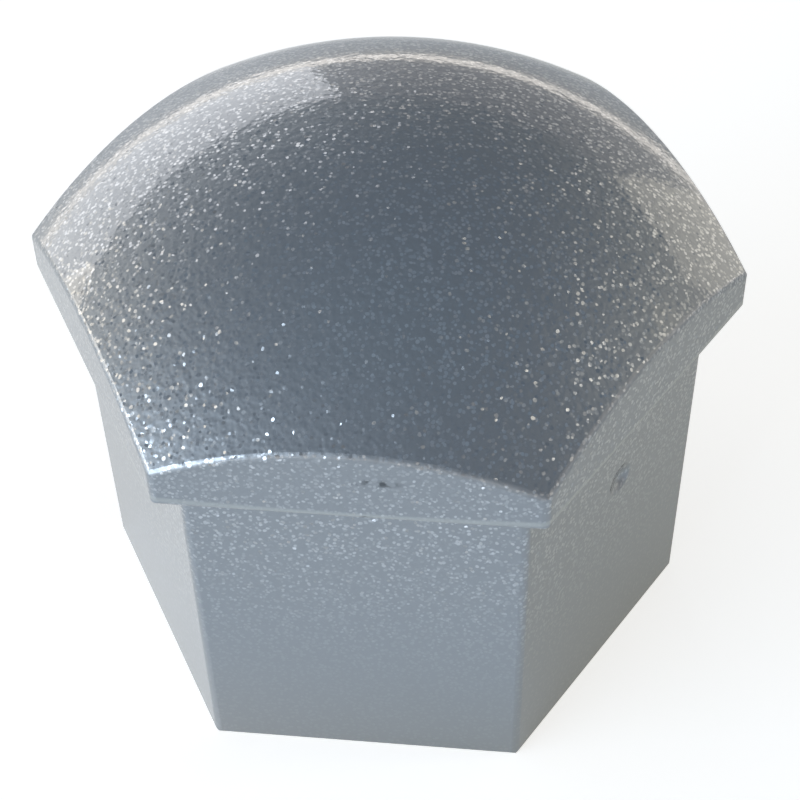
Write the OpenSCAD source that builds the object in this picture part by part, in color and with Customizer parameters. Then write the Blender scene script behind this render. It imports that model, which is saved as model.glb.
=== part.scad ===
// Wheel nut cover cap: a hexagonal socket with a wider, domed hexagonal head, moulded as one piece.
// It stands on its rim, with Z up and the origin at the middle of the rim.
// Two flats face -Y and +Y, and two corners lie on the X axis.

/* [Nut fit] */
// Width across the flats of the wheel nut that the cap pushes onto
nut_af = 17; // [12:0.5:27]
// Gap between each flat of the nut and the socket's wall
fit_gap = 0.25; // [0.1:0.05:0.6]
// Taper of the socket's walls, in degrees, so that the core draws out
socket_draft = 0.25; // [0:0.05:0.5]
// Radius of the socket's inside corners
socket_corner_r = 0.6; // [0.3:0.1:1.5]
// Depth of the bevel that leads the nut into the mouth
lead_in = 0.3; // [0.1:0.05:0.5]

/* [Grip ribs] */
// Ribs on each flat of the socket
ribs_per_flat = 2; // [1:1:3]
// Width of a rib where it stands on the wall
rib_w = 1; // [0.6:0.05:1.5]
// How far a rib's crest reaches past the nut's flat before it is squeezed
rib_squeeze = 0.05; // [0:0.01:0.15]
// Height above the rim at which the ribs begin
rib_start = 1.5; // [0.8:0.1:4]
// Slope of the ribs' lower ends, in degrees from the wall
rib_ramp = 20; // [10:1:45]

/* [Skirt] */
// Thickness of the skirt's wall at the rim
wall = 1.05; // [0.8:0.05:2]
// Height of the skirt, from the rim to the underside of the head
skirt_h = 14.4; // [9:0.1:25]
// Taper of the skirt's outside, in degrees: it is wider at the head
skirt_draft = 0.6; // [0:0.1:1.5]
// Radius of the skirt's upright corners
skirt_corner_r = 0.45; // [0.2:0.05:1]
// Radius of the rim's outer edge
rim_edge_r = 0.2; // [0.1:0.05:0.35]

/* [Head] */
// Overhang of the head past the top of the skirt, which a puller hooks under
lip = 1.1; // [0.5:0.05:2.5]
// Height of the head's upright corners
corner_h = 1.5; // [0.8:0.1:4]
// Rise of the dome from the head's corners to its top
dome_rise = 5; // [3:0.1:8]
// Thickness of the dome over the socket
crown_wall = 1.3; // [0.8:0.1:3]
// Radius of the arched edges, where the dome meets the head's flats
arch_edge_r = 0.4; // [0.15:0.05:0.6]
// Radius of the head's upright corners
head_corner_r = 0.45; // [0.2:0.05:1]
// Radius of the head's lower edges
under_edge_r = 0.25; // [0.1:0.05:0.5]
// How far the underside rises towards the head's corners
corner_relief = 0.15; // [0.05:0.05:0.4]

/* [Dimple] */
// Width of the shallow dimple in the front right flat of the skirt
dimple_w = 1.35; // [0.5:0.05:3]
// Depth of the dimple
dimple_depth = 0.12; // [0.05:0.01:0.4]
// Distance from the head's underside down to the dimple's middle
dimple_drop = 4.4; // [2:0.1:7]
// Distance of the dimple from the middle of its flat, away from the front
dimple_off = 0.4; // [-3:0.1:3]

/* [Hidden] */
$fn = 96;
// Angle that a rounded edge keeps to the faces beside it, just short of a smooth run-out
crease = 8;
// How far a cutting shape reaches past what it cuts
past = 1;
// The hexagon: a flat every 60 degrees, and 30 degrees from a flat's normal to a corner
flat_step = 60;
half_step = flat_step / 2;
flats = 6;
// Turn from the rear flat, which the shapes below are drawn on, to the front right one
dimple_turn = 4 * flat_step;

socket_af = nut_af + 2 * fit_gap;
rim_af = socket_af + 2 * wall;
skirt_top_af = rim_af + 2 * skirt_h * tan(skirt_draft);
head_af = skirt_top_af + 2 * lip;
head_corner = head_af / 2 / cos(half_step);
dome_r = (pow(head_corner, 2) + pow(dome_rise, 2)) / (2 * dome_rise);
total_h = skirt_h + corner_h + dome_rise;
dome_z = total_h - dome_r;
rib_h = fit_gap + rib_squeeze;
rib_r = (pow(rib_w / 2, 2) + pow(rib_h, 2)) / (2 * rib_h);
rib_y = nut_af / 2 - rib_squeeze + rib_r;
rib_pitch = socket_af * tan(half_step) / ribs_per_flat;
dimple_r = (pow(dimple_w / 2, 2) + pow(dimple_depth, 2)) / (2 * dimple_depth);

// What is cut away to round an edge, in section. The round's middle is at the origin, the
// faces lie at distance r from it, and their normals point along X and turn degrees from X.
module edge_bite(r, turn) {
    reach = 4 * r;
    difference() {
        polygon([
            [0, 0],
            [reach, 0],
            reach / cos(turn / 2) * [cos(turn / 2), sin(turn / 2)],
            reach * [cos(turn), sin(turn)]
        ]);
        circle(r = r / cos(crease));
    }
}

// The space between two opposite flats, which widens upwards by draft on each side.
// af is its width at height 0, and edge_r rounds its two lower edges.
module flat_pair(af, h, draft, below, edge_r) {
    foot = af / 2 - below * tan(draft);
    top = af / 2 + h * tan(draft);
    rotate([90, 0, 90])
        linear_extrude(height = 3 * af, center = true)
            difference() {
                polygon([[-foot, -below], [foot, -below], [top, h], [-top, h]]);
                if (edge_r > 0)
                    for (side = [0, 1])
                        mirror([side, 0])
                            translate([af / 2 + edge_r * (tan(draft) - 1 / cos(draft)), edge_r])
                                rotate(-90)
                                    edge_bite(edge_r, 90 - draft);
            }
}

// What is cut away to round one upright corner of a tapered hexagon.
module corner_bite(af, h, draft, below, r) {
    lean = atan(tan(draft) / cos(half_step));
    turn = acos(pow(cos(draft), 2) * cos(flat_step) + pow(sin(draft), 2));
    span = (h + below) / cos(lean) + 2 * past;
    translate([(af / 2 - r / cos(draft)) / cos(half_step), 0, 0])
        rotate([0, lean, 0])
            translate([0, 0, -below / cos(lean) - past])
                rotate(-turn / 2)
                    linear_extrude(height = span)
                        edge_bite(r, turn);
}

// A tapered hexagonal block with rounded corners, from below height 0 up to h.
module hex_block(af, h, draft, corner_r, below = 0, edge_r = 0) {
    difference() {
        intersection_for (pair = [0 : flats / 2 - 1])
            rotate(flat_step * pair)
                flat_pair(af, h, draft, below, edge_r);
        if (corner_r > 0)
            for (corner = [0 : flats - 1])
                rotate(flat_step * corner)
                    corner_bite(af, h, draft, below, corner_r);
    }
}

// The skirt's outside, with a stub that runs up into the head.
module skirt() {
    hex_block(rim_af, skirt_h + corner_h / 2, skirt_draft, skirt_corner_r, edge_r = rim_edge_r);
}

// What is cut away to round one arched edge: a ring about the line that runs
// through the dome's centre square to the flat.
module arch_bite() {
    y = head_af / 2 - arch_edge_r;
    ring_r = sqrt(pow(dome_r - arch_edge_r, 2) - pow(y, 2));
    slope = atan2(y, ring_r);
    translate([0, 0, dome_z])
        rotate([-90, 0, 0])
            rotate_extrude()
                translate([ring_r, y])
                    rotate(slope)
                        edge_bite(arch_edge_r, 90 - slope);
}

// What is cut away under the head: a flat cone that lifts the underside towards the corners.
module relief_cone() {
    rise = corner_relief / (head_corner - head_af / 2);
    edge = head_corner + past;
    translate([0, 0, skirt_h])
        rotate_extrude()
            polygon([
                [0, -rise * head_af],
                [edge, -rise * head_af],
                [edge, rise * (edge - head_af / 2)],
                [0, -rise * head_af / 2]
            ]);
}

// Turns a shape drawn on the rear flat to every other flat, from the one numbered first.
module every_other_flat(first) {
    for (flat = [first : 2 : flats - 1])
        rotate(flat_step * flat)
            children();
}

// The domed head's outside. Neighbouring arched edges are rounded in two rounds,
// because the rings that round them cross at the corners.
module head() {
    difference() {
        difference() {
            intersection() {
                translate([0, 0, skirt_h])
                    hex_block(
                        head_af, corner_h + dome_rise + past, 0, head_corner_r, edge_r = under_edge_r
                    );
                translate([0, 0, dome_z])
                    sphere(r = dome_r);
            }
            relief_cone();
            every_other_flat(0) arch_bite();
        }
        every_other_flat(1) arch_bite();
    }
}

// The grip ribs, as round bars sunk in the socket's walls and ramped at their lower ends.
module ribs() {
    ramp_h = (2 * rib_h + past) / tan(rib_ramp);
    difference() {
        for (flat = [0 : flats - 1], n = [0 : ribs_per_flat - 1])
            rotate(flat_step * flat)
                translate([(n - (ribs_per_flat - 1) / 2) * rib_pitch, rib_y, 0])
                    cylinder(h = total_h, r = rib_r);
        translate([0, 0, rib_start])
            hex_block(socket_af, ramp_h, -rib_ramp, 0, below = rib_start + past);
    }
}

// The hollow: a hexagonal socket with a bevelled mouth and a ceiling that follows the dome.
module socket() {
    difference() {
        union() {
            intersection() {
                hex_block(socket_af, total_h, -socket_draft, socket_corner_r, below = past);
                translate([0, 0, dome_z])
                    sphere(r = dome_r - crown_wall);
            }
            hex_block(socket_af + 2 * lead_in, 2 * lead_in, -45, socket_corner_r, below = past / 2);
        }
        ribs();
    }
}

// The shallow dimple, the cap of a ball, on the front right flat.
module dimple() {
    z = skirt_h - dimple_drop;
    flat_y = rim_af / 2 + z * tan(skirt_draft);
    rotate(dimple_turn)
        translate([-dimple_off, flat_y + dimple_r - dimple_depth, z])
            sphere(r = dimple_r);
}

module cap() {
    color("#9CA7AE")
        difference() {
            union() {
                skirt();
                head();
            }
            socket();
            dimple();
        }
}

cap();
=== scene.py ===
# %% [markdown]
# A wheel nut cover cap, moulded in silver plastic: a hexagonal socket under a wider, domed head.
# Its solid comes ready from the frame at its true size, as a fine mesh that follows its curves. What
# is left to do here is what the eye reads first: the metal flake in the plastic, its grain, and the
# light.

# %% Load the frame
import math

import bpy
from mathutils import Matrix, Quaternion, Vector

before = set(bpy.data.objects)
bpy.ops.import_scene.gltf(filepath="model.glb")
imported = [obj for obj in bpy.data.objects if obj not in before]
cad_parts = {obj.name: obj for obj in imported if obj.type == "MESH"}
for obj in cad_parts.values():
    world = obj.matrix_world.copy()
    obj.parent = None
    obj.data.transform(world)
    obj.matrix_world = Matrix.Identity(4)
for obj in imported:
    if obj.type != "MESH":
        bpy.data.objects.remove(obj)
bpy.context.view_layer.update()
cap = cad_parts["cap"]

# %% [markdown]
# Lengths are easier to think about in millimetres, but the scene is in metres, so one factor turns
# them. Colours are written as on a colour chart, as sRGB hex values. Shaders add up light, so each
# colour is turned to linear first.

# %% Units and colours
MM = 0.001


def linear(hex_colour):
    """Turns an sRGB hex value into linear red, green, blue and alpha, with the standard's own curve."""
    values = [int(hex_colour[i : i + 2], 16) / 255 for i in (1, 3, 5)]
    return [v / 12.92 if v <= 0.04045 else ((v + 0.055) / 1.055) ** 2.4 for v in values] + [1.0]


# %% [markdown]
# Every material below is a small network of nodes. One helper adds any node, sets its options, and
# sets or links its inputs, so that each material reads from top to bottom like a recipe. Some nodes
# have spare sockets that are switched off, so the helper looks only at the ones in use.

# %% A helper for nodes
def add_node(tree, kind, inputs, **options):
    """Adds a node and sets its options. Each input, given by its name or its number, gets a value
    or a link. A link comes from a node's output, or from a node, which stands for its first one."""
    node = tree.nodes.new("ShaderNode" + kind)
    for name, value in options.items():
        setattr(node, name, value)
    in_use = [socket for socket in node.inputs if socket.enabled]
    for name, value in inputs.items():
        socket = in_use[name] if isinstance(name, int) else next(s for s in in_use if s.name == name)
        if isinstance(value, bpy.types.Node):
            value = next(output for output in value.outputs if output.enabled)
        if isinstance(value, bpy.types.NodeSocket):
            tree.links.new(value, socket)
        else:
            socket.default_value = value
    return node


def new_tree(owner):
    """Gives a material or a world an empty node tree."""
    owner.use_nodes = True
    owner.node_tree.nodes.clear()
    return owner.node_tree


# %% [markdown]
# Many masks below are 1 up to one place and fall softly to 0 at another. A Map Range node does that.
# These two settings are shared by all of them, and each mask adds the places where its fall starts
# and ends, as From Min and From Max. Where From Min is the larger one, the mask is 1 above it and 0
# below From Max.

# %% Settings for a soft fall
FALL = {"To Min": 1.0, "To Max": 0.0}
SOFT = {"interpolation_type": "SMOOTHSTEP"}

# %% [markdown]
# The camera looks down on the cap from close by, which makes the head look large and the rim small.
# A longer lens from further away would flatten it, so the distance matters as much as the direction.

# %% The camera
VIEW_AZIMUTH = 6.95
VIEW_ELEVATION = 45.95
VIEW_ROLL = -1.5
VIEW_DISTANCE = 74.9 * MM
AIM = Vector((0.51, -0.67, 9.25)) * MM
# Focal length and width of the sensor, in millimetres as Blender takes them
LENS, SENSOR_WIDTH = 90, 36
NEAREST, FURTHEST = 1 * MM, 10


def direction(azimuth, elevation):
    """The direction towards a place round the cap. Azimuth 0 is the front, and 90 the right side."""
    turn, rise = math.radians(azimuth), math.radians(elevation)
    return Vector((math.sin(turn) * math.cos(rise), -math.cos(turn) * math.cos(rise), math.sin(rise)))


towards_camera = direction(VIEW_AZIMUTH, VIEW_ELEVATION)
bpy.ops.object.camera_add(location=AIM + VIEW_DISTANCE * towards_camera)
camera = bpy.context.object
camera.name = "camera"
camera.data.lens = LENS
camera.data.sensor_width = SENSOR_WIDTH
camera.data.clip_start = NEAREST
camera.data.clip_end = FURTHEST
camera.rotation_mode = "QUATERNION"
roll = Quaternion((0, 0, 1), math.radians(VIEW_ROLL))
camera.rotation_quaternion = (-towards_camera).to_track_quat("-Z", "Y") @ roll
bpy.context.scene.camera = camera
print("camera at", [round(v / MM, 1) for v in camera.location], "mm")

# %% [markdown]
# The head has a fine pebble grain, as an eroded mould leaves it. The grain fades out down the skirt,
# probably because a grain on the long walls would hold the part in the mould. A noise pattern makes
# the pebbles, and this mask says how much of them shows. The glossy skin follows them only a little.

# %% Grain
GRAIN_HEIGHTS = {"From Min": 3 * MM, "From Max": 14 * MM}
GRAIN_LEAST = 0.1
PEBBLE_SIZE = 0.28 * MM
PEBBLE_DETAIL = 1.0
PEBBLE_HEIGHT = 0.028 * MM
SKIN_HEIGHT = 0.008 * MM


def grain_amount(tree, place):
    """How much of the grain shows: a little at the rim, all of it on the head."""
    height = add_node(tree, "SeparateXYZ", {"Vector": place}).outputs["Z"]
    return add_node(
        tree, "MapRange", {"Value": height, **GRAIN_HEIGHTS, "To Min": GRAIN_LEAST, "To Max": 1.0}, **SOFT
    )


# %% [markdown]
# The front right flat has a shallow moulded dimple. It is in the solid, and in this light its shape
# alone hardly shows, so a bump in the same place deepens its shading.

# %% Dimple
DIMPLE_PLACE = Vector((8.78, -4.61, 10.0)) * MM
DIMPLE_SPAN = {"From Min": 0.0, "From Max": 0.7 * MM}
DIMPLE_LOOK = 0.3 * MM


def dimple_well(tree, place):
    """1 in the middle of the dimple, and 0 outside it."""
    away = add_node(tree, "VectorMath", {0: place, 1: DIMPLE_PLACE}, operation="DISTANCE")
    return add_node(tree, "MapRange", {"Value": away, **DIMPLE_SPAN, **FALL}, **SOFT)


# %% [markdown]
# The front of the head carries two small dark scuffs, the clearest wear in the photo. Each is a
# flattened ball in space, given by its middle and its half sizes in millimetres, and the grain's
# noise breaks up its edge.

# %% Scuffs
SCUFFS = [((0.9, -11.05, 16.2), (1.1, 1.0, 0.22)), ((0.6, -11.05, 14.5), (0.35, 1.0, 0.15))]
SCUFF_SPAN = {"From Min": 0.3, "From Max": 1.0}
SCUFF_PATCHES = {"From Min": 0.66, "From Max": 0.42}


def scuff_mask(tree, place, noise):
    """1 where a scuff is darkest, broken up by the grain."""
    spots = []
    for middle, size in SCUFFS:
        offset = add_node(tree, "VectorMath", {0: place, 1: Vector(middle) * MM}, operation="SUBTRACT")
        scaled = add_node(tree, "VectorMath", {0: offset, 1: Vector(size) * MM}, operation="DIVIDE")
        length = add_node(tree, "VectorMath", {0: scaled}, operation="LENGTH")
        spots.append(add_node(tree, "MapRange", {"Value": length, **SCUFF_SPAN, **FALL}, **SOFT))
    first, second = spots
    mask = add_node(tree, "Math", {0: first, 1: second}, operation="MAXIMUM")
    patchy = add_node(tree, "MapRange", {"Value": noise, **SCUFF_PATCHES, **FALL}, **SOFT)
    return add_node(tree, "Math", {0: mask, 1: patchy}, operation="MULTIPLY")


# %% [markdown]
# Metal flakes lie in the plastic at small random tilts, so each one mirrors a different bit of the
# room. Cells of a Voronoi pattern are the flakes here. Chance picks which cells hold a flake and
# leans its surface one way or another, and the leaning flakes catch the windows as glints. Real
# flakes are often finer than these, which are as coarse as they look in the photo.

# %% Metal flakes
FLAKE_SPACING = 0.145 * MM
FLAKE_WOBBLE = Vector((0.12, 0.12, 0.12)) * MM
FLAKE_EDGE = {"From Min": 0.38, "From Max": 0.54}
FLAKE_CHANCE = 0.75
FLAKE_TILT = 0.8
NO_LEAN = (0.5, 0.5, 0.5)


def flakes(tree, place, noise, amount):
    """Returns how much of each point is flake, how bright the flake is, and how far it leans."""
    wobbled = add_node(
        tree, "VectorMath", {0: noise.outputs["Color"], 1: FLAKE_WOBBLE, 2: place}, operation="MULTIPLY_ADD"
    )
    cells = add_node(tree, "TexVoronoi", {"Vector": wobbled, "Scale": 1 / FLAKE_SPACING})
    dot = add_node(tree, "MapRange", {"Value": cells.outputs["Distance"], **FLAKE_EDGE, **FALL}, **SOFT)
    luck = add_node(tree, "TexWhiteNoise", {"Vector": cells.outputs["Position"]})
    chosen = add_node(tree, "MapRange", {"Value": luck, "From Min": 1 - FLAKE_CHANCE, "From Max": 1.0})
    present = add_node(tree, "Math", {0: chosen, 1: 0.0}, operation="GREATER_THAN")
    held = add_node(tree, "Math", {0: dot, 1: present}, operation="MULTIPLY")
    share = add_node(tree, "Math", {0: held, 1: amount}, operation="MULTIPLY")
    drawn = add_node(tree, "Math", {0: share, 1: chosen}, operation="MULTIPLY")
    lean = add_node(tree, "Math", {0: drawn, 1: FLAKE_TILT}, operation="MULTIPLY")
    aside = add_node(tree, "VectorMath", {0: cells.outputs["Color"], 1: NO_LEAN}, operation="SUBTRACT")
    tilt = add_node(tree, "VectorMath", {0: aside, "Scale": lean}, operation="SCALE")
    return share, cells.outputs["Color"], tilt


# %% [markdown]
# A painted highlight, a thin pale line, runs round the lower edge of the head. It follows the edge,
# which rises a little towards the corners. So its height grows with the distance from the middle of
# the cap, and it starts only past the flats of the skirt.

# %% Painted highlight on the head's lower edge
# Where the painted highlight lies: past the skirt's flats, how wide it is, and how it rises.
HIGHLIGHT_INSIDE = {"From Min": 10.9 * MM, "From Max": 11.0 * MM}
HIGHLIGHT_WIDTH = {"From Min": 0.03 * MM, "From Max": 0.17 * MM}
HIGHLIGHT_RISE = 0.088
HIGHLIGHT_HEIGHT = 14.6 * MM - HIGHLIGHT_RISE * HIGHLIGHT_INSIDE["From Max"]


def painted_edge_highlight(tree, place):
    """1 along the lower edge of the head, where the highlight is painted."""
    parts = add_node(tree, "SeparateXYZ", {"Vector": place})
    flat = add_node(tree, "CombineXYZ", {"X": parts.outputs["X"], "Y": parts.outputs["Y"]})
    radius = add_node(tree, "VectorMath", {0: flat}, operation="LENGTH")
    inside = add_node(tree, "MapRange", {"Value": radius, **HIGHLIGHT_INSIDE, **FALL}, **SOFT)
    outside = add_node(tree, "Math", {0: 1.0, 1: inside}, operation="SUBTRACT")
    line = add_node(tree, "Math", {0: radius, 1: HIGHLIGHT_RISE, 2: HIGHLIGHT_HEIGHT}, operation="MULTIPLY_ADD")
    above = add_node(tree, "Math", {0: parts.outputs["Z"], 1: line}, operation="SUBTRACT")
    away = add_node(tree, "Math", {0: above}, operation="ABSOLUTE")
    near = add_node(tree, "MapRange", {"Value": away, **HIGHLIGHT_WIDTH, **FALL}, **SOFT)
    return add_node(tree, "Math", {0: outside, 1: near}, operation="MULTIPLY")


# %% [markdown]
# The cap is injection moulded from plastic with metal flake in it, most often polypropylene or ABS.
# The material joins two layers. Below lies the flaked plastic, a rough metal that gives the broad
# grey tones and the glints. Over it lies the smooth skin, a clear coat that mirrors the room's edges
# crisply. A plain grey plastic would have neither the glints nor the dark top.

# %% Silver flake plastic
BODY_GREY = linear("#A2A6A9")
FLAKE_GREYS = {"A": linear("#9CA0A3"), "B": linear("#D6D8D9")}
# The pale grey of the painted highlight on the head's lower edge.
EDGE_HIGHLIGHT_GREY = linear("#BBBEBC")
SCUFF_GREY = linear("#54595C")
BODY_ROUGHNESS, FLAKE_ROUGHNESS = 0.55, 0.36
SKIN = {"Coat Weight": 1.0, "Coat IOR": 1.55, "Coat Roughness": 0.06}


def silver_colour(tree, place, noise, share, brightness):
    """The grey of the plastic, then its flakes, a painted highlight on the head's lower edge, and its
    scuffs.
    """
    flake = add_node(tree, "Mix", {"Factor": brightness, **FLAKE_GREYS}, data_type="RGBA")
    grey = add_node(tree, "Mix", {"Factor": share, "A": BODY_GREY, "B": flake}, data_type="RGBA")
    # The highlight along the head's lower edge is painted into the colour.
    line = painted_edge_highlight(tree, place)
    lined = add_node(tree, "Mix", {"Factor": line, "A": grey, "B": EDGE_HIGHLIGHT_GREY}, data_type="RGBA")
    scuffs = scuff_mask(tree, place, noise)
    return add_node(tree, "Mix", {"Factor": scuffs, "A": lined, "B": SCUFF_GREY}, data_type="RGBA")


def silver_flake_plastic():
    material = bpy.data.materials.new("silver_flake_plastic")
    tree = new_tree(material)
    place = add_node(tree, "TexCoord", {}).outputs["Object"]
    amount = grain_amount(tree, place)
    noise = add_node(
        tree, "TexNoise", {"Vector": place, "Scale": 1 / PEBBLE_SIZE, "Detail": PEBBLE_DETAIL}
    )
    depth = dimple_well(tree, place)
    well = add_node(tree, "Bump", {"Height": depth, "Distance": DIMPLE_LOOK}, invert=True)
    pebbles, skin = [
        add_node(tree, "Bump", {"Height": noise, "Strength": amount, "Distance": height, "Normal": well})
        for height in (PEBBLE_HEIGHT, SKIN_HEIGHT)
    ]
    share, brightness, tilt = flakes(tree, place, noise, amount)
    leaning = add_node(tree, "VectorMath", {0: pebbles, 1: tilt}, operation="ADD")
    normal = add_node(tree, "VectorMath", {0: leaning}, operation="NORMALIZE")
    colour = silver_colour(tree, place, noise, share, brightness)
    roughness = add_node(
        tree, "MapRange", {"Value": share, "To Min": BODY_ROUGHNESS, "To Max": FLAKE_ROUGHNESS}
    )
    layers = {"Base Color": colour, "Metallic": 1.0, "Roughness": roughness, "Normal": normal}
    shader = add_node(tree, "BsdfPrincipled", {**layers, **SKIN, "Coat Normal": skin})
    add_node(tree, "OutputMaterial", {"Surface": shader})
    return material


cap.data.materials[0] = silver_flake_plastic()
print("cap's material:", cap.data.materials[0].name)

# %% [markdown]
# The cap stands on matt white paper that fades away round it, so that no edge shows. Metal shows
# mostly what it mirrors, and the walls mirror the paper. The paper's glow for mirrored rays stands
# for the lit table round the cap, bright on the left, cool in front and dim on the right.

# %% White paper
PAPER_SIZE = 1200 * MM
PAPER_FADE = {"From Min": 90 * MM, "From Max": 250 * MM}
PAPER_WHITE, SEEN_WHITE = linear("#E6E6E6"), linear("#FFFCF6")
SEEN_LIFT = 0.68
GLOW_REACH = {"From Min": 30 * MM, "From Max": 60 * MM}
GLOW_STRENGTHS = {"To Min": 0.1, "To Max": 0.42}
GLOW_SIDES = {"From Min": -12 * MM, "From Max": 12 * MM}
GLOW_FRONT = {"From Min": -16 * MM, "From Max": -9 * MM}
# Colours of the painted glow, the table's light as the walls mirror it.
GLOW_RIGHT, GLOW_LEFT, GLOW_COOL = linear("#CBC5B0"), linear("#FFFAF0"), linear("#E2F0FF")


def painted_table_glow(tree, place):
    """The colour of the painted glow that the walls mirror, standing for the table's light: dim on the
    right, then bright on the left, then cool in front.
    """
    parts = add_node(tree, "SeparateXYZ", {"Vector": place})
    left = add_node(tree, "MapRange", {"Value": parts.outputs["X"], **GLOW_SIDES, **FALL}, **SOFT)
    front = add_node(tree, "MapRange", {"Value": parts.outputs["Y"], **GLOW_FRONT, **FALL}, **SOFT)
    tint = add_node(tree, "Mix", {"Factor": left, "A": GLOW_RIGHT, "B": GLOW_LEFT}, data_type="RGBA")
    return add_node(tree, "Mix", {"Factor": front, "A": tint, "B": GLOW_COOL}, data_type="RGBA")


def white_paper_sweep():
    material = bpy.data.materials.new("white_paper_sweep")
    tree = new_tree(material)
    place = add_node(tree, "TexCoord", {}).outputs["Object"]
    away = add_node(tree, "VectorMath", {0: place}, operation="LENGTH")
    near = add_node(tree, "MapRange", {"Value": away, **GLOW_REACH, **FALL}, **SOFT)
    glow = add_node(tree, "MapRange", {"Value": near, **GLOW_STRENGTHS})
    tint = painted_table_glow(tree, place)
    rays = add_node(tree, "LightPath", {})
    seen = add_node(tree, "Math", {0: rays.outputs["Is Camera Ray"], 1: SEEN_LIFT}, operation="MULTIPLY")
    mirrored = add_node(tree, "Math", {0: rays.outputs["Is Glossy Ray"], 1: glow}, operation="MULTIPLY")
    matt = add_node(tree, "BsdfDiffuse", {"Color": PAPER_WHITE})
    white = add_node(tree, "Emission", {"Color": SEEN_WHITE, "Strength": seen})
    tinted = add_node(tree, "Emission", {"Color": tint, "Strength": mirrored})
    both = add_node(tree, "AddShader", {0: white, 1: tinted})
    lit = add_node(tree, "AddShader", {0: matt, 1: both})
    clear = add_node(tree, "BsdfTransparent", {})
    middle = add_node(tree, "MapRange", {"Value": away, **PAPER_FADE, **FALL}, **SOFT)
    sheet = add_node(tree, "MixShader", {"Fac": middle, 1: clear, 2: lit})
    add_node(tree, "OutputMaterial", {"Surface": sheet})
    return material


bpy.ops.object.select_all(action="DESELECT")
bpy.ops.mesh.primitive_plane_add(size=PAPER_SIZE)
floor = bpy.context.object
floor.name = "floor"
floor.data.materials.append(white_paper_sweep())
print("floor:", [round(side, 2) for side in floor.dimensions], "m")

# %% [markdown]
# The room is a ramp of colour by height. Below the horizon lies the far, pale end of the table. Above
# it are grey walls, and then a darker, bluish ceiling, which is what the top of the dome mirrors. A
# thin bright strip just under the horizon is the table's lit far edge, and the dome's back edge
# mirrors it as a fine line. The camera itself sees plain white.

# %% The room
LOWEST = -0.2
ROOM_COLOURS = [
    (-0.2, "#D8D2CB"),
    (-0.02, "#E0DAD3"),
    (0.01, "#9E9EA2"),
    (0.32, "#9A9A9F"),
    (0.37, "#757D84"),
    (0.9, "#7F8A99"),
    (1.0, "#8B9CAC"),
]
STRIP_TOP = {"From Min": -0.04, "From Max": -0.03}
STRIP_BOTTOM = {"From Min": -0.09, "From Max": -0.1}
STRIP_GAIN = 2.1


def horizon_strip(tree, up, rays):
    """1 in the thin strip under the horizon, for mirrored rays alone."""
    below = add_node(tree, "MapRange", {"Value": up, **STRIP_TOP, **FALL}, **SOFT)
    above = add_node(tree, "MapRange", {"Value": up, **STRIP_BOTTOM, **FALL}, **SOFT)
    between = add_node(tree, "Math", {0: below, 1: above}, operation="MULTIPLY")
    return add_node(tree, "Math", {0: between, 1: rays.outputs["Is Glossy Ray"]}, operation="MULTIPLY")


def fill_room(tree):
    """Draws the room as a ramp of colour by height."""
    way = add_node(tree, "TexCoord", {}).outputs["Generated"]
    up = add_node(tree, "SeparateXYZ", {"Vector": way}).outputs["Z"]
    step = add_node(tree, "MapRange", {"Value": up, "From Min": LOWEST, "From Max": 1.0})
    ramp = add_node(tree, "ValToRGB", {"Fac": step})
    steps = ramp.color_ramp.elements
    for i, (height, colour) in enumerate(ROOM_COLOURS):
        element = steps[i] if i < len(steps) else steps.new(1.0)
        element.position = (height - LOWEST) / (1 - LOWEST)
        element.color = linear(colour)
    rays = add_node(tree, "LightPath", {})
    seen = {"Factor": rays.outputs["Is Camera Ray"], "A": ramp, "B": linear("#FFFFFF")}
    colour = add_node(tree, "Mix", seen, data_type="RGBA")
    strip = horizon_strip(tree, up, rays)
    strength = add_node(tree, "Math", {0: strip, 1: STRIP_GAIN, 2: 1.0}, operation="MULTIPLY_ADD")
    sky = add_node(tree, "Background", {"Color": colour, "Strength": strength})
    add_node(tree, "OutputWorld", {"Surface": sky})


room = bpy.data.worlds.new("room")
bpy.context.scene.world = room
fill_room(new_tree(room))
print("room:", len(ROOM_COLOURS), "steps of colour")

# %% [markdown]
# Soft boxes stand for a row of windows, low on the left. The strongest is at the front left and is
# cool, and the ones beside and behind it are weaker. Two dim warm cards lift the right side, and a
# small lamp there lights glints. Little light comes from above, so the top of the dome stays dark.

# %% The lamps
LAMP_DISTANCE = 600 * MM
# Watts per square metre of a soft box of strength 1. At pi watts its front would show the value 1,
# so at 4 it is 1.27 times as bright.
AREA_POWER = 4
# Azimuth, elevation, half width and half height in degrees, then strength and colour
LAMPS = {
    "front_left_window": (-52, 11, 26, 10.5, 6.6, "#DCEDFF"),
    "left_window": (-99, 11, 21, 10.5, 1.8, "#FFF3E0"),
    "back_left_window": (-143, 11, 23, 10.5, 1.15, "#F8FAFF"),
    "right_back_card": (139, 11, 11, 10.5, 0.7, "#FFF6E0"),
    "right_card": (106, 22, 13, 11, 0.4, "#FFF0CC"),
    "right_lamp": (98, 30, 3.5, 3.5, 8, "#FFF8EC"),
}


def soft_box(name, azimuth, elevation, half_width, half_height, strength, colour):
    """A soft box that faces the cap. Its half sizes are angles as the cap sees them, and its
    power follows from its strength and its area."""
    towards = direction(azimuth, elevation)
    bpy.ops.object.light_add(type="AREA", location=LAMP_DISTANCE * towards)
    lamp = bpy.context.object
    lamp.name = name
    lamp.rotation_euler = towards.to_track_quat("Z", "Y").to_euler()
    width, tall = [2 * LAMP_DISTANCE * math.tan(math.radians(half)) for half in (half_width, half_height)]
    lamp.data.shape = "RECTANGLE"
    lamp.data.size = width
    lamp.data.size_y = tall
    lamp.data.energy = AREA_POWER * strength * width * tall
    lamp.data.color = linear(colour)[:3]
    print(name, "power", round(lamp.data.energy, 3), "W")


for name, settings in LAMPS.items():
    soft_box(name, *settings)

# %% [markdown]
# The Standard view shows each colour as it is written.

# %% Finish
bpy.context.scene.view_settings.view_transform = "Standard"
